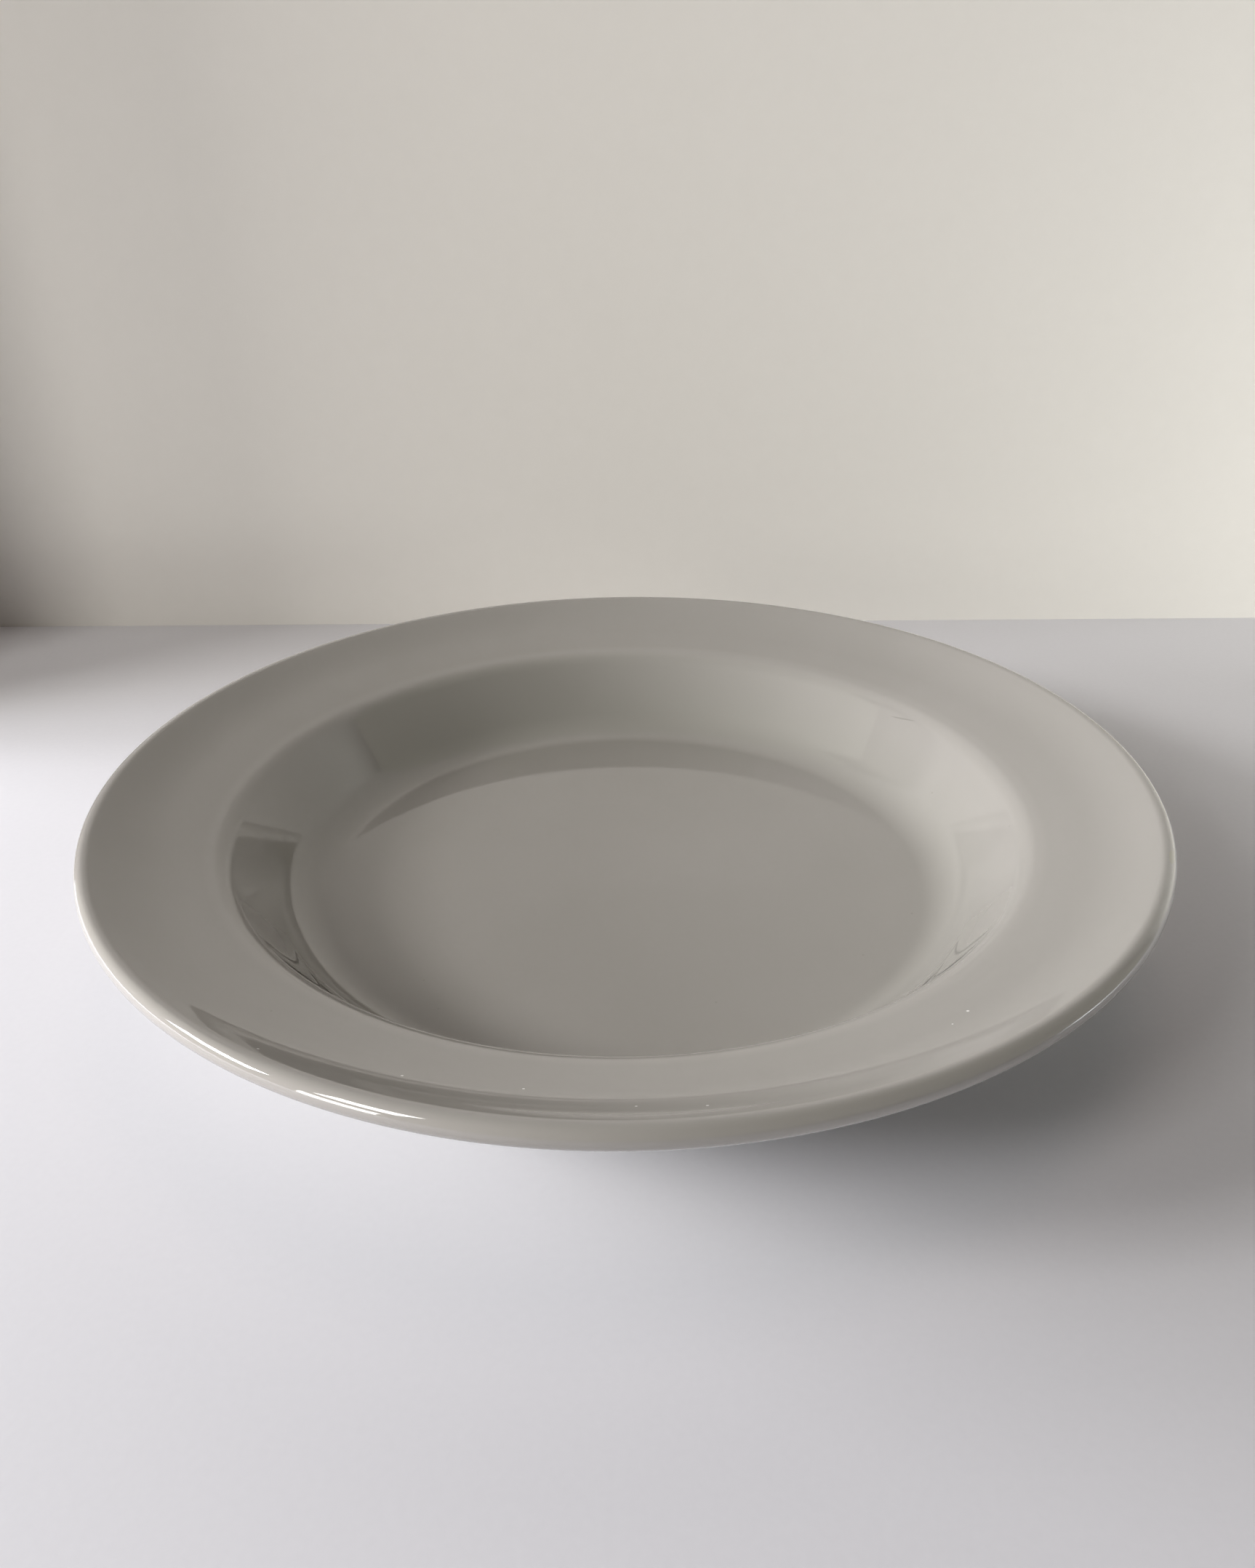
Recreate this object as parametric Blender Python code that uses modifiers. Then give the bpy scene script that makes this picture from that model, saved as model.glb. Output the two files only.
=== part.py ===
"""A rimmed soup plate of glazed stoneware, turned as one piece, standing on its foot ring.

The plate is one closed section, turned about the vertical axis. The origin is on that axis, at the
level of the table. Sizes are in millimetres in the section and in metres in the finished plate.
"""
from math import acos, atan2, ceil, cos, degrees, hypot, radians, sin, tan

import bpy

MILLIMETRE = 0.001

# Outer form
OUTER_RADIUS = 115.0
HEIGHT = 37.0
WALL_THICKNESS = 4.3

# Rim: nearly straight from the well outwards, then curled up towards the lip
RIM_OUTER_SLOPE = 30.0
RIM_INNER_SLOPE = 16.0
RIM_MIDDLE_RADIUS = 104.5
RIM_CUP_REACH = 5.5
LIP_UPPER_ROUND = 2.2
LIP_LOWER_ROUND = 1.8

# Well: the shoulder is where the rim drops into it
SHOULDER_RADIUS = 87.5
SHOULDER_ROUND = 7.0
WELL_WALL_SLOPE = 56.0
WELL_FLOOR_LEVEL = 8.6
WELL_COVE_ROUND = 12.0

# Underside and foot ring
BASE_LEVEL = 4.2
BASE_ROUND = 12.0
FOOT_OUTER_RADIUS = 69.0
FOOT_INNER_RADIUS = 64.4
FOOT_TAPER = 0.6
FOOT_ROUND = 1.0
RECESS_LEVEL = 3.8

# Fineness of the mesh
TURN_STEPS = 72
FLATNESS = 0.05
SHARP_ANGLE = 40.0

GLAZE_COLOUR = (0.39, 0.37, 0.34, 1.0)
GLAZE_ROUGHNESS = 0.1


def rise(run, slope):
    """Height gained over a horizontal run at a slope in degrees."""
    return run * tan(radians(slope))


def offset_corner(corner, inner_slope, outer_slope, thickness):
    """The corner on the underside that lies one wall thickness from a corner on the upper side."""
    half_turn = radians(inner_slope - outer_slope) / 2
    middle = radians(inner_slope + outer_slope) / 2
    reach = thickness / cos(half_turn)
    return corner[0] + reach * sin(middle), corner[1] - reach * cos(middle)


def rounded_corner(before, corner, after, radius):
    """Points along the arc that rounds a corner between two straight runs.

    No facet strays from the true arc by more than the flatness.
    """
    into = atan2(corner[1] - before[1], corner[0] - before[0])
    out = atan2(after[1] - corner[1], after[0] - corner[0])
    turn = (degrees(out - into) + 180.0) % 360.0 - 180.0
    side = 1.0 if turn > 0 else -1.0
    tangent = radius * tan(radians(abs(turn)) / 2)
    start = corner[0] - tangent * cos(into), corner[1] - tangent * sin(into)
    centre = start[0] - side * radius * sin(into), start[1] + side * radius * cos(into)
    facet_turn = 2 * degrees(acos(1 - FLATNESS / radius))
    facets = max(3, ceil(abs(turn) / facet_turn))
    points = []
    for step in range(facets + 1):
        angle = into + radians(turn) * step / facets
        points.append((centre[0] + side * radius * sin(angle), centre[1] - side * radius * cos(angle)))
    return points


def upper_corners():
    """Corners of the upper side from the well floor to the lip, each with its rounding."""
    lip_slope = radians(RIM_OUTER_SLOPE)
    lip_level = HEIGHT - LIP_UPPER_ROUND + LIP_UPPER_ROUND * (1 / cos(lip_slope) + tan(lip_slope))
    rim_level = lip_level - rise(OUTER_RADIUS - RIM_MIDDLE_RADIUS, RIM_OUTER_SLOPE)
    shoulder_level = rim_level - rise(RIM_MIDDLE_RADIUS - SHOULDER_RADIUS, RIM_INNER_SLOPE)
    well_depth = shoulder_level - WELL_FLOOR_LEVEL
    floor_radius = SHOULDER_RADIUS - well_depth / tan(radians(WELL_WALL_SLOPE))
    cup_turn = radians(RIM_OUTER_SLOPE - RIM_INNER_SLOPE)
    cup_round = RIM_CUP_REACH / tan(cup_turn / 2)
    return [
        ((floor_radius, WELL_FLOOR_LEVEL), WELL_COVE_ROUND),
        ((SHOULDER_RADIUS, shoulder_level), SHOULDER_ROUND),
        ((RIM_MIDDLE_RADIUS, rim_level), cup_round),
        ((OUTER_RADIUS, lip_level), LIP_UPPER_ROUND),
    ]


def lower_corners():
    """Corners of the underside from the lip to the recess inside the foot ring."""
    (_, _), (shoulder, _), (rim, cup_round), (lip, _) = upper_corners()
    lip_under = OUTER_RADIUS, lip[1] - WALL_THICKNESS / cos(radians(RIM_OUTER_SLOPE))
    rim_under = offset_corner(rim, RIM_INNER_SLOPE, RIM_OUTER_SLOPE, WALL_THICKNESS)
    shoulder_under = offset_corner(shoulder, WELL_WALL_SLOPE, RIM_INNER_SLOPE, WALL_THICKNESS)
    base_radius = shoulder_under[0] - (shoulder_under[1] - BASE_LEVEL) / tan(radians(WELL_WALL_SLOPE))
    return [
        (lip_under, LIP_LOWER_ROUND),
        (rim_under, cup_round),
        (shoulder_under, SHOULDER_ROUND - WALL_THICKNESS),
        ((base_radius, BASE_LEVEL), BASE_ROUND),
        ((FOOT_OUTER_RADIUS + FOOT_TAPER, BASE_LEVEL), FOOT_ROUND),
        ((FOOT_OUTER_RADIUS, 0.0), FOOT_ROUND),
        ((FOOT_INNER_RADIUS, 0.0), FOOT_ROUND),
        ((FOOT_INNER_RADIUS - FOOT_TAPER, RECESS_LEVEL), FOOT_ROUND),
    ]


def section():
    """The whole section, from the middle of the well over the lip to the middle of the underside."""
    corners = upper_corners() + lower_corners()
    top_middle = (0.0, WELL_FLOOR_LEVEL)
    bottom_middle = (0.0, RECESS_LEVEL)
    path = [top_middle] + [corner for corner, _ in corners] + [bottom_middle]
    points = [top_middle, (corners[0][0][0] / 2, WELL_FLOOR_LEVEL)]
    for index, (corner, radius) in enumerate(corners):
        for point in rounded_corner(path[index], corner, path[index + 2], radius):
            if hypot(point[0] - points[-1][0], point[1] - points[-1][1]) > 0.01:
                points.append(point)
    points.append((FOOT_INNER_RADIUS / 2, RECESS_LEVEL))
    points.append(bottom_middle)
    return points


def glaze():
    """Pale warm grey glaze, glossy all over."""
    material = bpy.data.materials.new("glaze")
    material.use_nodes = True
    shader = material.node_tree.nodes["Principled BSDF"]
    shader.inputs["Base Color"].default_value = GLAZE_COLOUR
    shader.inputs["Roughness"].default_value = GLAZE_ROUGHNESS
    shader.inputs["Metallic"].default_value = 0.0
    return material


def turned_plate(collection):
    """The section as a chain of edges, turned once about the vertical axis."""
    points = [(radius * MILLIMETRE, 0.0, level * MILLIMETRE) for radius, level in section()]
    edges = [(index, index + 1) for index in range(len(points) - 1)]
    mesh = bpy.data.meshes.new("plate")
    mesh.from_pydata(points, edges, [])
    plate = bpy.data.objects.new("plate", mesh)
    collection.objects.link(plate)
    turn = plate.modifiers.new("turn", "SCREW")
    turn.axis = "Z"
    turn.steps = TURN_STEPS
    turn.render_steps = TURN_STEPS
    turn.use_merge_vertices = True
    turn.merge_threshold = 0.00001
    turn.use_smooth_shade = True
    plate.data.materials.append(glaze())
    return plate


def apply_turn(plate):
    """Keeps the turned surface as the mesh, smooth but for edges sharper than the roundings."""
    evaluated = plate.evaluated_get(bpy.context.evaluated_depsgraph_get())
    turned = bpy.data.meshes.new_from_object(evaluated)
    plate.modifiers.clear()
    plate.data = turned
    turned.shade_smooth()
    turned.set_sharp_from_angle(angle=radians(SHARP_ANGLE))


def main():
    for existing in list(bpy.data.objects):
        bpy.data.objects.remove(existing)
    collection = bpy.data.collections.new("soup plate")
    bpy.context.scene.collection.children.link(collection)
    apply_turn(turned_plate(collection))


main()
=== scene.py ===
# %% [markdown]
# # A rimmed soup plate in glossy glazed stoneware
# This lesson dresses a plain turned solid as a real piece of tableware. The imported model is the
# frame: it gives the size and the place of the plate, and everything below is fitted to it.
# The plate is one piece, so the lesson is about three things: a fine section, a glaze that is
# more than one flat colour, and light that lets a glossy surface show its shape.

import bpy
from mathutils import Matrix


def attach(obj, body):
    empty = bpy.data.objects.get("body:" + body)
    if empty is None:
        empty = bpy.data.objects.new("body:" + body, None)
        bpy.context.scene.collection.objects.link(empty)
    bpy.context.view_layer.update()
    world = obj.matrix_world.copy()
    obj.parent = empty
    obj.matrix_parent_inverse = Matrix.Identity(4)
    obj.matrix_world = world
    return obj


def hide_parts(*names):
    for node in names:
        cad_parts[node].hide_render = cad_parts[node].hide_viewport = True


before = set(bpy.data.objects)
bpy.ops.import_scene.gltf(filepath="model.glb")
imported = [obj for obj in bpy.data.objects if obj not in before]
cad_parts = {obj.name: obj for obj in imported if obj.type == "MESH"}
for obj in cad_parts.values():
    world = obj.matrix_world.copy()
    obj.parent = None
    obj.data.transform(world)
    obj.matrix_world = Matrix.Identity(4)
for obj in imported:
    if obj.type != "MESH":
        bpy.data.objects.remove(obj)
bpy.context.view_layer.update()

# %% Blender modules and the unit of the section
from math import acos, atan2, ceil, cos, degrees, hypot, pi, radians, sin, tan

import bmesh
import bpy
from mathutils import Matrix, Vector

MILLIMETRE = 0.001

# %% [markdown]
# ## The camera
# The view is a close one from above the near edge of the table, looking about 28 degrees down
# with a wide lens. A wide lens near the object makes the near lip sweep low and large, so both the
# place and the focal length matter. The camera is made first, because small marks on the glaze are
# placed along its sight lines later on.

# %% Camera place and lens
PHOTO_WIDTH = 1726
PHOTO_HEIGHT = 2156
FOCAL_PIXELS = 1596.0
SENSOR_WIDTH = 36.0
CAMERA_PLACE = Vector((0.0, -0.23345, 0.15407))
PAN = radians(0.170)
TILT_DOWN = radians(27.823)
ROLL = radians(-0.73)

forward = Vector((sin(PAN) * cos(TILT_DOWN), cos(PAN) * cos(TILT_DOWN), -sin(TILT_DOWN)))
level_right = Vector((cos(PAN), -sin(PAN), 0.0))
level_up = level_right.cross(forward)
camera_right = cos(ROLL) * level_right + sin(ROLL) * level_up
camera_up = cos(ROLL) * level_up - sin(ROLL) * level_right

camera_data = bpy.data.cameras.new("camera")
camera_data.sensor_fit = "AUTO"
camera_data.sensor_width = SENSOR_WIDTH
camera_data.lens = FOCAL_PIXELS * SENSOR_WIDTH / PHOTO_HEIGHT
camera_data.clip_start = 0.01
camera = bpy.data.objects.new("camera", camera_data)
bpy.context.scene.collection.objects.link(camera)
camera.matrix_world = Matrix((camera_right, camera_up, -forward)).transposed().to_4x4()
camera.matrix_world.translation = CAMERA_PLACE
bpy.context.scene.camera = camera
print("lens %.2f mm, camera %.0f mm above the table" % (camera_data.lens, CAMERA_PLACE.z * 1000))

# %% [markdown]
# ## The section of the plate
# A thrown or jiggered plate is a solid of revolution, so all of its shape is in one section: a flat
# well floor, a round cove up to a steep well wall, a soft shoulder, a wide rim that curls up towards
# its edge, a full round lip, and an underside that follows the upper side at one wall thickness down
# to the foot ring. The section could be traced point by point, but corners with roundings say more:
# each corner has a radius, a level and a rounding, just as a potter's drawing gives them.

# %% Sizes of the section, in millimetres
OUTER_RADIUS = 115.0
HEIGHT = 37.0
WALL_THICKNESS = 4.3
RIM_OUTER_SLOPE = 30.0
RIM_INNER_SLOPE = 16.0
RIM_MIDDLE_RADIUS = 104.5
RIM_CUP_REACH = 5.5
LIP_UPPER_ROUND = 2.2
LIP_LOWER_ROUND = 1.8
SHOULDER_RADIUS = 87.5
SHOULDER_ROUND = 7.0
WELL_WALL_SLOPE = 56.0
WELL_FLOOR_LEVEL = 8.6
WELL_COVE_ROUND = 12.0
BASE_LEVEL = 4.2
BASE_ROUND = 12.0
FOOT_OUTER_RADIUS = 69.0
FOOT_INNER_RADIUS = 64.4
FOOT_TAPER = 0.6
FOOT_ROUND = 1.0
RECESS_LEVEL = 3.8


# %% Corners of the upper side
def rise(run, slope):
    return run * tan(radians(slope))


lip_slope = radians(RIM_OUTER_SLOPE)
lip_level = HEIGHT - LIP_UPPER_ROUND + LIP_UPPER_ROUND * (1 / cos(lip_slope) + tan(lip_slope))
rim_level = lip_level - rise(OUTER_RADIUS - RIM_MIDDLE_RADIUS, RIM_OUTER_SLOPE)
shoulder_level = rim_level - rise(RIM_MIDDLE_RADIUS - SHOULDER_RADIUS, RIM_INNER_SLOPE)
floor_radius = SHOULDER_RADIUS - (shoulder_level - WELL_FLOOR_LEVEL) / tan(radians(WELL_WALL_SLOPE))
rim_round = RIM_CUP_REACH / tan(radians(RIM_OUTER_SLOPE - RIM_INNER_SLOPE) / 2)
upper_corners = [
    ((floor_radius, WELL_FLOOR_LEVEL), WELL_COVE_ROUND),
    ((SHOULDER_RADIUS, shoulder_level), SHOULDER_ROUND),
    ((RIM_MIDDLE_RADIUS, rim_level), rim_round),
    ((OUTER_RADIUS, lip_level), LIP_UPPER_ROUND),
]
print("upper corners:", [(round(r, 1), round(z, 1)) for (r, z), _ in upper_corners])


# %% Corners of the underside and the foot ring
def offset_corner(corner, inner_slope, outer_slope):
    half_turn = radians(inner_slope - outer_slope) / 2
    middle = radians(inner_slope + outer_slope) / 2
    reach = WALL_THICKNESS / cos(half_turn)
    return corner[0] + reach * sin(middle), corner[1] - reach * cos(middle)


shoulder_under = offset_corner(upper_corners[1][0], WELL_WALL_SLOPE, RIM_INNER_SLOPE)
base_radius = shoulder_under[0] - (shoulder_under[1] - BASE_LEVEL) / tan(radians(WELL_WALL_SLOPE))
lower_corners = [
    ((OUTER_RADIUS, lip_level - WALL_THICKNESS / cos(lip_slope)), LIP_LOWER_ROUND),
    (offset_corner(upper_corners[2][0], RIM_INNER_SLOPE, RIM_OUTER_SLOPE), rim_round),
    (shoulder_under, SHOULDER_ROUND - WALL_THICKNESS),
    ((base_radius, BASE_LEVEL), BASE_ROUND),
    ((FOOT_OUTER_RADIUS + FOOT_TAPER, BASE_LEVEL), FOOT_ROUND),
    ((FOOT_OUTER_RADIUS, 0.0), FOOT_ROUND),
    ((FOOT_INNER_RADIUS, 0.0), FOOT_ROUND),
    ((FOOT_INNER_RADIUS - FOOT_TAPER, RECESS_LEVEL), FOOT_ROUND),
]
print("lower corners:", [(round(r, 1), round(z, 1)) for (r, z), _ in lower_corners])

# %% [markdown]
# ## Rounding the corners
# A glossy glaze mirrors its surroundings, so every facet of a rounding would show as a kink in a
# reflection. Each arc therefore gets as many points as keep it within 0.004 mm of the true circle,
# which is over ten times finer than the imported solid.

# %% Points of one rounding
FLATNESS = 0.004


def rounding(before, corner, after, radius):
    into = atan2(corner[1] - before[1], corner[0] - before[0])
    out = atan2(after[1] - corner[1], after[0] - corner[0])
    turn = (degrees(out - into) + 180.0) % 360.0 - 180.0
    side = 1.0 if turn > 0 else -1.0
    tangent = radius * tan(radians(abs(turn)) / 2)
    start = corner[0] - tangent * cos(into), corner[1] - tangent * sin(into)
    centre = start[0] - side * radius * sin(into), start[1] + side * radius * cos(into)
    facets = max(4, ceil(abs(turn) / (2 * degrees(acos(1 - FLATNESS / radius)))))
    angles = [into + radians(turn) * step / facets for step in range(facets + 1)]
    return [(centre[0] + side * radius * sin(a), centre[1] - side * radius * cos(a)) for a in angles]


# %% The whole section as rings of radius and level
FLAT_RINGS = (6.0, 20.0, 40.0)
LEAST_STEP = 0.005
corners = upper_corners + lower_corners
path = [(0.0, WELL_FLOOR_LEVEL)] + [corner for corner, _ in corners] + [(0.0, RECESS_LEVEL)]
rings = [(radius, WELL_FLOOR_LEVEL) for radius in FLAT_RINGS]
for index, (corner, radius) in enumerate(corners):
    for point in rounding(path[index], corner, path[index + 2], radius):
        if hypot(point[0] - rings[-1][0], point[1] - rings[-1][1]) > LEAST_STEP:
            rings.append(point)
rings += [(radius, RECESS_LEVEL) for radius in reversed(FLAT_RINGS)]
print(len(rings), "rings from the middle of the well to the middle of the underside")

# %% [markdown]
# ## Turning the plate
# The plate could be spun from an edge chain, but growing it ring by ring shows how it is built: a
# small disc in the middle of the well is the start, and its edge is extruded, resized and lifted
# from ring to ring, out over the lip and back under to the foot. The last ring is merged into one
# point, so the shell is closed. All CAD nodes are deselected first, because an operator acts on
# everything that is selected.

# %% The first disc
TURN_STEPS = 240
bpy.ops.object.select_all(action="DESELECT")
bpy.ops.mesh.primitive_circle_add(
    vertices=TURN_STEPS,
    radius=rings[0][0] * MILLIMETRE,
    fill_type="TRIFAN",
    location=(0.0, 0.0, rings[0][1] * MILLIMETRE),
)
plate = bpy.context.object
plate.name = "soup_plate"
plate.data.name = "soup_plate"
bpy.ops.object.transform_apply(location=True, rotation=True, scale=True)
print("start:", len(plate.data.vertices), "points")

# %% The edge of the disc is selected by its distance from the middle
bpy.ops.object.mode_set(mode="EDIT")
bpy.ops.mesh.select_mode(type="EDGE")
bpy.ops.mesh.select_all(action="DESELECT")
growing = bmesh.from_edit_mesh(plate.data)
for edge in growing.edges:
    edge.select_set(all(hypot(v.co.x, v.co.y) > 0.9 * rings[0][0] * MILLIMETRE for v in edge.verts))
bmesh.update_edit_mesh(plate.data)
print("selected:", sum(edge.select for edge in growing.edges), "edges")

# %% Ring by ring over the lip and back to the middle of the underside
for (radius, level), (next_radius, next_level) in zip(rings, rings[1:]):
    lift = (next_level - level) * MILLIMETRE
    scale = next_radius / radius
    bpy.ops.mesh.extrude_edges_move(TRANSFORM_OT_translate={"value": (0.0, 0.0, lift)})
    bpy.ops.transform.resize(value=(scale, scale, 1.0), center_override=(0.0, 0.0, 0.0))
bpy.ops.mesh.merge(type="CENTER")
bpy.ops.mesh.select_all(action="SELECT")
bpy.ops.mesh.normals_make_consistent(inside=False)
bpy.ops.object.mode_set(mode="OBJECT")
print("turned:", len(plate.data.vertices), "points,", len(plate.data.polygons), "faces")

# %% The shell is smooth, closed and faces outwards
bpy.ops.object.shade_smooth()
checked = bmesh.new()
checked.from_mesh(plate.data)
volume = checked.calc_volume(signed=True)
open_edges = sum(not edge.is_manifold for edge in checked.edges)
checked.free()
plate_box = [plate.matrix_world @ Vector(corner) for corner in plate.bound_box]
print("volume %.1f cm3, open edges %d" % (volume * 1e6, open_edges))
print("height %.2f mm" % (1000 * (max(c.z for c in plate_box) - min(c.z for c in plate_box))))

# %% [markdown]
# ## The glaze
# The glaze is a warm pale grey, glossy like glass, laid over an off-white body. On a real plate it
# is never quite even: it drifts by a shade over the breadth of the hand, pools a little greener at
# the foot of the well wall, and carries pinholes, dust flecks and the odd hair line. The lip and
# the shoulder carry a painted highlight, a touch lighter colour along their roundings. Its surface
# also swells very slightly, which is what bends the reflections. The foot ring is wiped bare before
# firing, so its face is matt.
# All of this is made from Object coordinates, so it stays put on the plate.

# %% Helpers for laying out shader nodes
def new_material(name):
    material = bpy.data.materials.new(name)
    material.use_nodes = True
    return material, material.node_tree.nodes, material.node_tree.links


def add_node(nodes, kind, settings=None, values=None):
    node = nodes.new(kind)
    for key, value in (settings or {}).items():
        setattr(node, key, value)
    for key, value in (values or {}).items():
        node.inputs[key].default_value = value
    return node


def calculate(nodes, links, operation, first, second=None, clamp=False):
    node = add_node(nodes, "ShaderNodeMath", {"operation": operation, "use_clamp": clamp})
    for socket, value in zip(node.inputs, (first, second)):
        if isinstance(value, (int, float)):
            socket.default_value = value
        elif value is not None:
            links.new(value, socket)
    return node.outputs["Value"]


def fade(nodes, links, value, low, high, to_low=0.0, to_high=1.0):
    node = add_node(nodes, "ShaderNodeMapRange", {"interpolation_type": "SMOOTHSTEP"})
    links.new(value, node.inputs["Value"])
    for key, number in (("From Min", low), ("From Max", high), ("To Min", to_low), ("To Max", to_high)):
        node.inputs[key].default_value = number
    return node.outputs["Result"]


def blend_colour(nodes, links, factor, first, second):
    node = add_node(nodes, "ShaderNodeMix", {"data_type": "RGBA"})
    for socket, value in ((node.inputs[0], factor), (node.inputs[6], first), (node.inputs[7], second)):
        if isinstance(value, (int, float)):
            socket.default_value = value
        elif isinstance(value, tuple):
            socket.default_value = (*value, 1.0)
        else:
            links.new(value, socket)
    return node.outputs[2]


def lay_over(nodes, links, colour, mask, strength, tone):
    factor = calculate(nodes, links, "MULTIPLY", mask, strength)
    return blend_colour(nodes, links, factor, colour, tone)


# %% The glaze material and its coordinates
GLAZE_GREY = (0.336, 0.322, 0.297)
GLAZE_GREY_DEEPER = (0.323, 0.310, 0.284)
MOTTLE_GREY = (0.29, 0.275, 0.25)
glaze, nodes, links = new_material("warm_grey_glaze")
shader = nodes["Principled BSDF"]
place = add_node(nodes, "ShaderNodeTexCoord").outputs["Object"]
parts = add_node(nodes, "ShaderNodeSeparateXYZ")
links.new(place, parts.inputs[0])
flat_place = add_node(nodes, "ShaderNodeVectorMath", {"operation": "MULTIPLY"}, {1: (1.0, 1.0, 0.0)})
links.new(place, flat_place.inputs[0])
from_axis = add_node(nodes, "ShaderNodeVectorMath", {"operation": "LENGTH"})
links.new(flat_place.outputs["Vector"], from_axis.inputs[0])
radius_out = from_axis.outputs["Value"]
level_out = parts.outputs["Z"]
print("glaze colour:", GLAZE_GREY)

# %% A slow drift of shade and a fine mottle
drift = add_node(nodes, "ShaderNodeTexNoise", None, {"Scale": 16.0, "Detail": 3.0, "Roughness": 0.5})
links.new(place, drift.inputs["Vector"])
drift_mask = fade(nodes, links, drift.outputs["Fac"], 0.38, 0.62)
colour = blend_colour(nodes, links, drift_mask, GLAZE_GREY, GLAZE_GREY_DEEPER)
mottle = add_node(nodes, "ShaderNodeTexNoise", None, {"Scale": 900.0, "Detail": 2.0, "Roughness": 0.6})
links.new(place, mottle.inputs["Vector"])
mottle_mask = fade(nodes, links, mottle.outputs["Fac"], 0.3, 0.7, 0.0, 0.05)
colour = blend_colour(nodes, links, mottle_mask, colour, MOTTLE_GREY)

# %% Painted highlight on the lip and shoulder, deeper glaze at the foot of the well wall, in metres
# A lighter ring painted on the lip: a painted highlight.
LIP_PAINTED_HIGHLIGHT = (0.50, 0.465, 0.43)
LIP_RADIUS = (0.1128, 0.1149)
LIP_LEVEL = (0.0330, 0.0350)
# A lighter band painted on the shoulder rounding: a painted highlight.
SHOULDER_PAINTED_HIGHLIGHT = (0.47, 0.45, 0.415)
SHOULDER_INNER = (0.0868, 0.0888)
SHOULDER_OUTER = (0.0900, 0.0925)
UPPER_SIDE = (0.0245, 0.0255)
COVE_GREY = (0.345, 0.345, 0.30)
COVE_INNER = (0.064, 0.074)
COVE_OUTER = (0.076, 0.086)

lip_highlight_mask = calculate(
    nodes, links, "MULTIPLY",
    fade(nodes, links, radius_out, *LIP_RADIUS),
    fade(nodes, links, level_out, *LIP_LEVEL),
)
colour = lay_over(nodes, links, colour, lip_highlight_mask, 0.35, LIP_PAINTED_HIGHLIGHT)
shoulder_highlight_mask = calculate(
    nodes, links, "MULTIPLY",
    fade(nodes, links, radius_out, *SHOULDER_INNER),
    fade(nodes, links, radius_out, *SHOULDER_OUTER, 1.0, 0.0),
)
upper_side = fade(nodes, links, level_out, *UPPER_SIDE)
shoulder_highlight_mask = calculate(nodes, links, "MULTIPLY", shoulder_highlight_mask, upper_side)
colour = lay_over(nodes, links, colour, shoulder_highlight_mask, 0.15, SHOULDER_PAINTED_HIGHLIGHT)
cove_mask = calculate(
    nodes, links, "MULTIPLY",
    fade(nodes, links, radius_out, *COVE_INNER),
    fade(nodes, links, radius_out, *COVE_OUTER, 1.0, 0.0),
)
colour = lay_over(nodes, links, colour, cove_mask, 0.22, COVE_GREY)

# %% [markdown]
# ## Pinholes and flecks
# Two kinds of mark sit in the glaze. A scatter of pinholes, a few tenths of a millimetre across, is
# cell noise: each cell has one point, and only the cells with a high random value show theirs. The
# marks that can be told one by one are placed along the camera's sight lines on the turned shell and
# then written as small round spots in the plate's own coordinates, so they stay there from any side.

# %% Scattered pinholes
DARK_MARK = (0.24, 0.225, 0.20)
PINHOLE_EDGE = (0.010, 0.024)
PINHOLE_CHANCE = (0.80, 0.82)
cells = add_node(nodes, "ShaderNodeTexVoronoi", {"feature": "F1"}, {"Scale": 110.0, "Randomness": 1.0})
links.new(place, cells.inputs["Vector"])
chance = add_node(nodes, "ShaderNodeSeparateColor")
links.new(cells.outputs["Color"], chance.inputs[0])
pinhole = calculate(
    nodes, links, "MULTIPLY",
    fade(nodes, links, cells.outputs["Distance"], *PINHOLE_EDGE, 1.0, 0.0),
    fade(nodes, links, chance.outputs[0], *PINHOLE_CHANCE),
)
colour = lay_over(nodes, links, colour, pinhole, 0.5, DARK_MARK)


# %% Marks found along sight lines
def on_the_plate(across, down):
    sight = camera_right * (across - PHOTO_WIDTH / 2) - camera_up * (down - PHOTO_HEIGHT / 2)
    sight = (sight + forward * FOCAL_PIXELS).normalized()
    hit, mark_place, _, _ = plate.ray_cast(CAMERA_PLACE, sight)
    if not hit:
        raise ValueError("the sight line passes the plate by")
    return mark_place


def spot(centre, radii, direction=(1.0, 0.0, 0.0)):
    turn = Vector((1.0, 0.0, 0.0)).rotation_difference(Vector(direction)).to_euler()
    mapping = add_node(nodes, "ShaderNodeMapping", {"vector_type": "TEXTURE"})
    mapping.inputs["Location"].default_value = centre
    mapping.inputs["Rotation"].default_value = turn
    mapping.inputs["Scale"].default_value = radii
    links.new(place, mapping.inputs["Vector"])
    far = add_node(nodes, "ShaderNodeVectorMath", {"operation": "LENGTH"})
    links.new(mapping.outputs["Vector"], far.inputs[0])
    return fade(nodes, links, far.outputs["Value"], 0.55, 1.0, 1.0, 0.0)


def all_spots(marks):
    mask = None
    for across, down, size in marks:
        centre = on_the_plate(across, down)
        one = spot(centre, (size, size, size))
        mask = one if mask is None else calculate(nodes, links, "MAXIMUM", mask, one)
    return mask


def line_mark(ends, half_width, half_depth):
    first, second = (on_the_plate(*end) for end in ends)
    line = second - first
    mask = spot((first + second) / 2, (line.length / 2, half_width, half_depth), line)
    return mask, line.length


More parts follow.
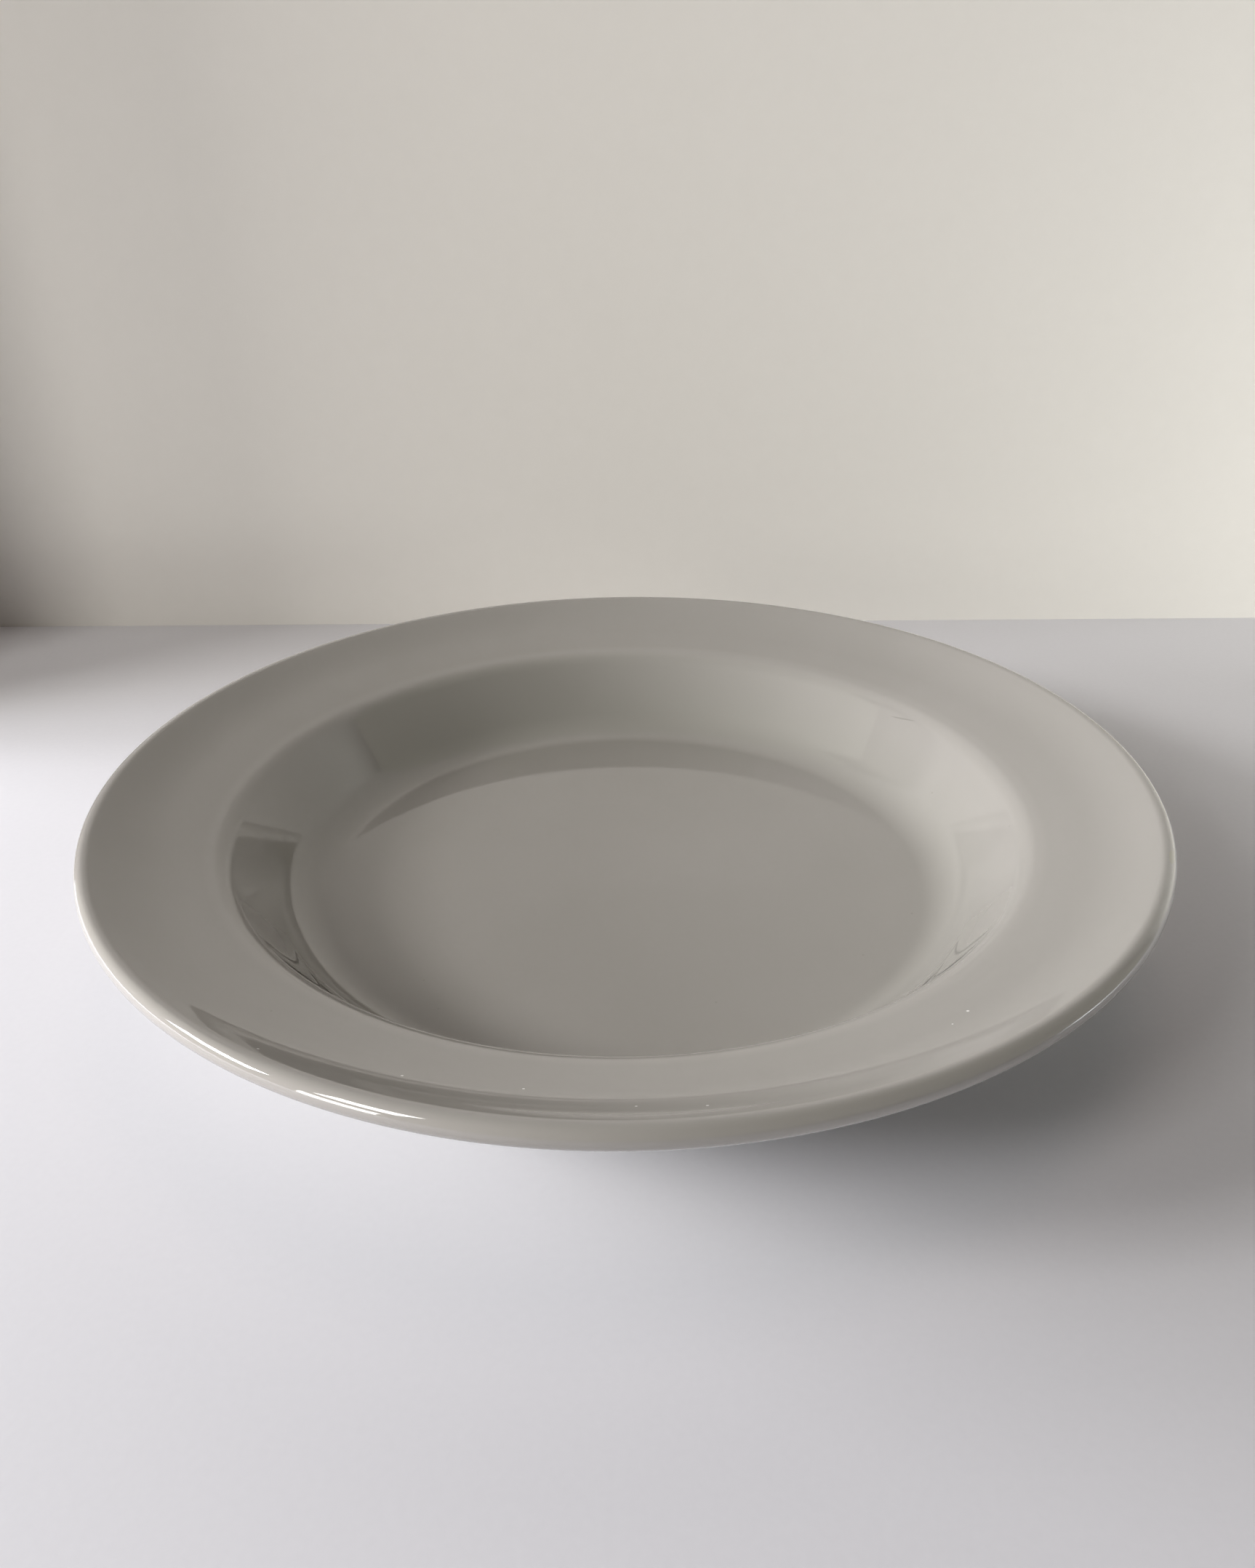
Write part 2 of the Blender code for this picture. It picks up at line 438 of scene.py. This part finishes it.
# %% White flecks of dust in the glaze, and faint dark ones
WHITE_MARK = (0.90, 0.89, 0.86)
WHITE_FLECKS = [
    (1331, 1390, 0.00032), (973, 1520, 0.00030), (355, 1442, 0.00028), (553, 1479, 0.00028),
    (720, 1497, 0.00026), (875, 1521, 0.00026), (1310, 1408, 0.00018),
]
DARK_FLECKS = [
    (985, 1378, 0.00030), (1254, 1256, 0.00030), (1187, 1313, 0.00028), (1282, 1090, 0.00030),
    (1388, 1136, 0.00028), (583, 1348, 0.00024), (373, 1390, 0.00024), (603, 1387, 0.00024),
]
colour = lay_over(nodes, links, colour, all_spots(WHITE_FLECKS), 0.85, WHITE_MARK)
colour = lay_over(nodes, links, colour, all_spots(DARK_FLECKS), 0.45, DARK_MARK)
print(len(WHITE_FLECKS), "white flecks and", len(DARK_FLECKS), "dark flecks")

# %% One hair line on the far wall and one olive rub on the edge of the rim
HAIR_GREY = (0.22, 0.21, 0.19)
HAIR_ENDS = ((1222, 984), (1262, 992))
OLIVE = (0.36, 0.35, 0.22)
RUB_ENDS = ((1612, 1166), (1611, 1190))
hair_mask, hair_length = line_mark(HAIR_ENDS, 0.00016, 0.0010)
colour = lay_over(nodes, links, colour, hair_mask, 0.6, HAIR_GREY)
rub_mask, rub_length = line_mark(RUB_ENDS, 0.0006, 0.0012)
colour = lay_over(nodes, links, colour, rub_mask, 0.5, OLIVE)
print("hair line %.1f mm, rub %.1f mm" % (hair_length * 1000, rub_length * 1000))

# %% [markdown]
# ## Gloss, swell and the bare foot
# The glaze has a very low roughness, a little higher in soft patches where the plate has been wiped,
# and a clear coat on top that makes it mirror more strongly. The swell is a weak
# bump a few centimetres broad, with a finer one on top of it. The face of the foot ring has the
# matt, slightly sandy body instead, told by its level.

# %% Bare foot
BODY_PALE = (0.60, 0.56, 0.49)
BODY_DARK = (0.46, 0.42, 0.36)
BARE_LEVEL = 0.0001
BARE_WAVER = 0.0006
bare_grain = add_node(nodes, "ShaderNodeTexNoise", None, {"Scale": 1400.0, "Detail": 3.0})
links.new(place, bare_grain.inputs["Vector"])
bare_edge = add_node(nodes, "ShaderNodeTexNoise", None, {"Scale": 220.0, "Detail": 2.0})
links.new(place, bare_edge.inputs["Vector"])
edge_level = calculate(nodes, links, "MULTIPLY_ADD", bare_edge.outputs["Fac"], BARE_WAVER)
edge_level.node.inputs[2].default_value = BARE_LEVEL
bare_mask = calculate(nodes, links, "LESS_THAN", level_out, edge_level)
bare_colour = blend_colour(nodes, links, bare_grain.outputs["Fac"], BODY_PALE, BODY_DARK)
colour = blend_colour(nodes, links, bare_mask, colour, bare_colour)
links.new(colour, shader.inputs["Base Color"])

# %% Gloss
GLAZE_IOR = 1.6
BODY_ROUGHNESS = 0.8
wiped = add_node(nodes, "ShaderNodeTexNoise", None, {"Scale": 26.0, "Detail": 4.0, "Roughness": 0.55})
links.new(place, wiped.inputs["Vector"])
gloss = fade(nodes, links, wiped.outputs["Fac"], 0.35, 0.75, 0.025, 0.055)
roughness = add_node(nodes, "ShaderNodeMix", {"data_type": "FLOAT"})
links.new(bare_mask, roughness.inputs[0])
links.new(gloss, roughness.inputs[2])
roughness.inputs[3].default_value = BODY_ROUGHNESS
links.new(roughness.outputs[0], shader.inputs["Roughness"])
shader.inputs["IOR"].default_value = GLAZE_IOR
links.new(calculate(nodes, links, "SUBTRACT", 1.0, bare_mask), shader.inputs["Coat Weight"])
shader.inputs["Coat IOR"].default_value = GLAZE_IOR
shader.inputs["Coat Roughness"].default_value = 0.02

# %% Swell of the surface
swell = add_node(nodes, "ShaderNodeTexNoise", None, {"Scale": 38.0, "Detail": 1.0, "Roughness": 0.4})
links.new(place, swell.inputs["Vector"])
ripple = add_node(nodes, "ShaderNodeTexNoise", None, {"Scale": 240.0, "Detail": 1.0, "Roughness": 0.4})
links.new(place, ripple.inputs["Vector"])
swell_bump = add_node(nodes, "ShaderNodeBump", None, {"Strength": 0.25, "Distance": 0.0003})
links.new(swell.outputs["Fac"], swell_bump.inputs["Height"])
ripple_bump = add_node(nodes, "ShaderNodeBump", None, {"Strength": 0.12, "Distance": 0.00004})
links.new(ripple.outputs["Fac"], ripple_bump.inputs["Height"])
links.new(swell_bump.outputs["Normal"], ripple_bump.inputs["Normal"])
links.new(ripple_bump.outputs["Normal"], shader.inputs["Normal"])
plate.data.materials.clear()
plate.data.materials.append(glaze)
print(len(nodes), "nodes in the glaze")

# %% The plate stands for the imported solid
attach(plate, "root")
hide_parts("plate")
print("triangles:", sum(len(face.vertices) - 2 for face in plate.data.polygons))

# %% [markdown]
# ## Table and backdrop
# The plate stands on a plain, cool white table that runs to a plain, warm white wall not far behind
# it. Both are matt. They matter more than they seem to: the glaze mirrors the wall in the floor of
# the well, so its distance and its brightness are part of the plate's look. A short return of the
# wall, just out of the picture on the left, shades the far left of the table. Seen from behind, the
# wall stands in front of the plate.

# %% Plain matt surfaces
def matt_surface(name, first, second, grain_scale):
    material, surface_nodes, surface_links = new_material(name)
    where = add_node(surface_nodes, "ShaderNodeTexCoord").outputs["Object"]
    grain = add_node(surface_nodes, "ShaderNodeTexNoise", None, {"Scale": grain_scale, "Detail": 4.0})
    surface_links.new(where, grain.inputs["Vector"])
    tone = blend_colour(surface_nodes, surface_links, grain.outputs["Fac"], first, second)
    matt = surface_nodes["Principled BSDF"]
    surface_links.new(tone, matt.inputs["Base Color"])
    matt.inputs["Roughness"].default_value = 0.85
    matt.inputs["Specular IOR Level"].default_value = 0.2
    bump = add_node(surface_nodes, "ShaderNodeBump", None, {"Strength": 0.15, "Distance": 0.0001})
    surface_links.new(grain.outputs["Fac"], bump.inputs["Height"])
    surface_links.new(bump.outputs["Normal"], matt.inputs["Normal"])
    return material


BOARD_TONES = ((0.80, 0.80, 0.83), (0.77, 0.77, 0.80))
WALL_TONES = ((0.79, 0.76, 0.71), (0.77, 0.74, 0.69))
TABLE_SIZE = (3.2, 2.7)
TABLE_MIDDLE = (0.0, -0.15, 0.0)
WALL_DISTANCE = 0.1924
WALL_LEFT = -0.36
WALL_RIGHT = 0.80
WALL_HEIGHT = 0.42
WALL_YAW = radians(-1.1)
CORNER_LEFT = -0.285
CORNER_DEPTH = 0.108
CORNER_OVERLAP = 0.006


def stage_plane(name, size, middle, turn, material):
    bpy.ops.object.select_all(action="DESELECT")
    bpy.ops.mesh.primitive_plane_add(size=1.0, location=middle, rotation=turn)
    sheet = bpy.context.object
    sheet.name = name
    sheet.scale = (*size, 1.0)
    bpy.ops.object.transform_apply(location=True, rotation=True, scale=True)
    sheet.data.materials.append(material)
    return sheet


board = matt_surface("cool_white_board", *BOARD_TONES, 700.0)
wall_paint = matt_surface("warm_white_wall", *WALL_TONES, 200.0)
wall_middle = (WALL_LEFT + WALL_RIGHT) / 2
wall_place = (wall_middle, WALL_DISTANCE + wall_middle * tan(WALL_YAW), WALL_HEIGHT / 2)
corner_middle = WALL_DISTANCE + CORNER_OVERLAP - CORNER_DEPTH / 2
corner_place = (CORNER_LEFT, corner_middle, WALL_HEIGHT / 2)
stage_plane("table", TABLE_SIZE, TABLE_MIDDLE, (0.0, 0.0, 0.0), board)
stage_plane("wall", (WALL_RIGHT - WALL_LEFT, WALL_HEIGHT), wall_place, (pi / 2, 0.0, WALL_YAW), wall_paint)
stage_plane("wall_corner", (CORNER_DEPTH, WALL_HEIGHT), corner_place, (pi / 2, 0.0, pi / 2), wall_paint)
print("wall %.0f mm behind the plate's axis" % (WALL_DISTANCE * 1000))

# %% [markdown]
# ## Light
# The light comes low from the left like that of a window. The lamps from 170 to 196 degrees are that
# window. They give the long soft shadow to the front right, and leave the left side of the well in
# its own shade. Two lamps further forward draw the bright streaks along the near lip. A low lamp on
# the right lifts the wall behind the plate, and a weak one overhead fills the shadows. Half of the
# lamps show in the glaze, and the others only give light. The sky gives the glaze a plain pale room
# to mirror, and adds no light of its own.

# %% Soft lamps, each given by its bearing and height over the table
DAYLIGHT = (0.95, 0.95, 1.0)
ROOM_LIGHT = (1.0, 0.98, 0.95)
PALE_LIGHT = (0.97, 1.0, 0.97)
WARM_LIGHT = (1.0, 0.80, 0.72)
LAMPS = [
    # name, bearing, elevation, distance, width, height, watts, colour, shows in the glaze
    ("window_far_end", 170.0, 18.0, 1.20, 0.30, 0.30, 5.2, DAYLIGHT, False),
    ("window_low", 180.0, 11.0, 1.20, 0.44, 0.20, 14.0, DAYLIGHT, False),
    ("window_middle", 188.0, 27.0, 1.20, 0.24, 0.20, 2.0, DAYLIGHT, True),
    ("window_near_end", 196.0, 27.0, 1.20, 0.24, 0.20, 5.2, ROOM_LIGHT, True),
    ("forward_low", 222.0, 8.0, 1.20, 0.30, 0.30, 2.0, ROOM_LIGHT, True),
    ("forward_high", 222.0, 34.0, 1.20, 0.30, 0.30, 3.2, ROOM_LIGHT, True),
    ("overhead", 0.0, 85.0, 1.20, 0.50, 0.50, 0.8, WARM_LIGHT, False),
    ("wall_lamp", 343.0, 5.5, 0.52, 0.30, 0.06, 1.2, PALE_LIGHT, False),
]


def soft_lamp(name, bearing, elevation, distance, width, height, watts, colour, shows):
    lamp = bpy.data.lights.new(name, "AREA")
    lamp.shape = "RECTANGLE"
    lamp.size = width
    lamp.size_y = height
    lamp.energy = watts
    lamp.color = colour
    source = bpy.data.objects.new(name, lamp)
    bpy.context.scene.collection.objects.link(source)
    around, up = radians(bearing), radians(elevation)
    source.location = distance * Vector((cos(around) * cos(up), sin(around) * cos(up), sin(up)))
    source.rotation_euler = (-source.location).to_track_quat("-Z", "Y").to_euler()
    source.visible_camera = False
    source.visible_glossy = shows
    return source


lamps = {row[0]: soft_lamp(*row) for row in LAMPS}
towards_the_wall = Vector((0.0, 1.0, 0.0))
lamps["wall_lamp"].rotation_euler = towards_the_wall.to_track_quat("-Z", "Y").to_euler()
print(len(lamps), "lamps, together %.0f W" % sum(row[6] for row in LAMPS))

# %% The room that the glaze mirrors, and the tone of the picture
SKY_COLOUR = (1.0, 0.97, 0.84, 1.0)
SKY_STRENGTH = 0.55
sky = bpy.data.worlds.new("sky")
bpy.context.scene.world = sky
sky.use_nodes = True
sky.cycles_visibility.diffuse = False
sky_light = sky.node_tree.nodes["Background"]
sky_light.inputs["Color"].default_value = SKY_COLOUR
sky_light.inputs["Strength"].default_value = SKY_STRENGTH
bpy.context.scene.view_settings.view_transform = "Standard"
bpy.context.scene.view_settings.look = "None"
print("sky strength", SKY_STRENGTH)
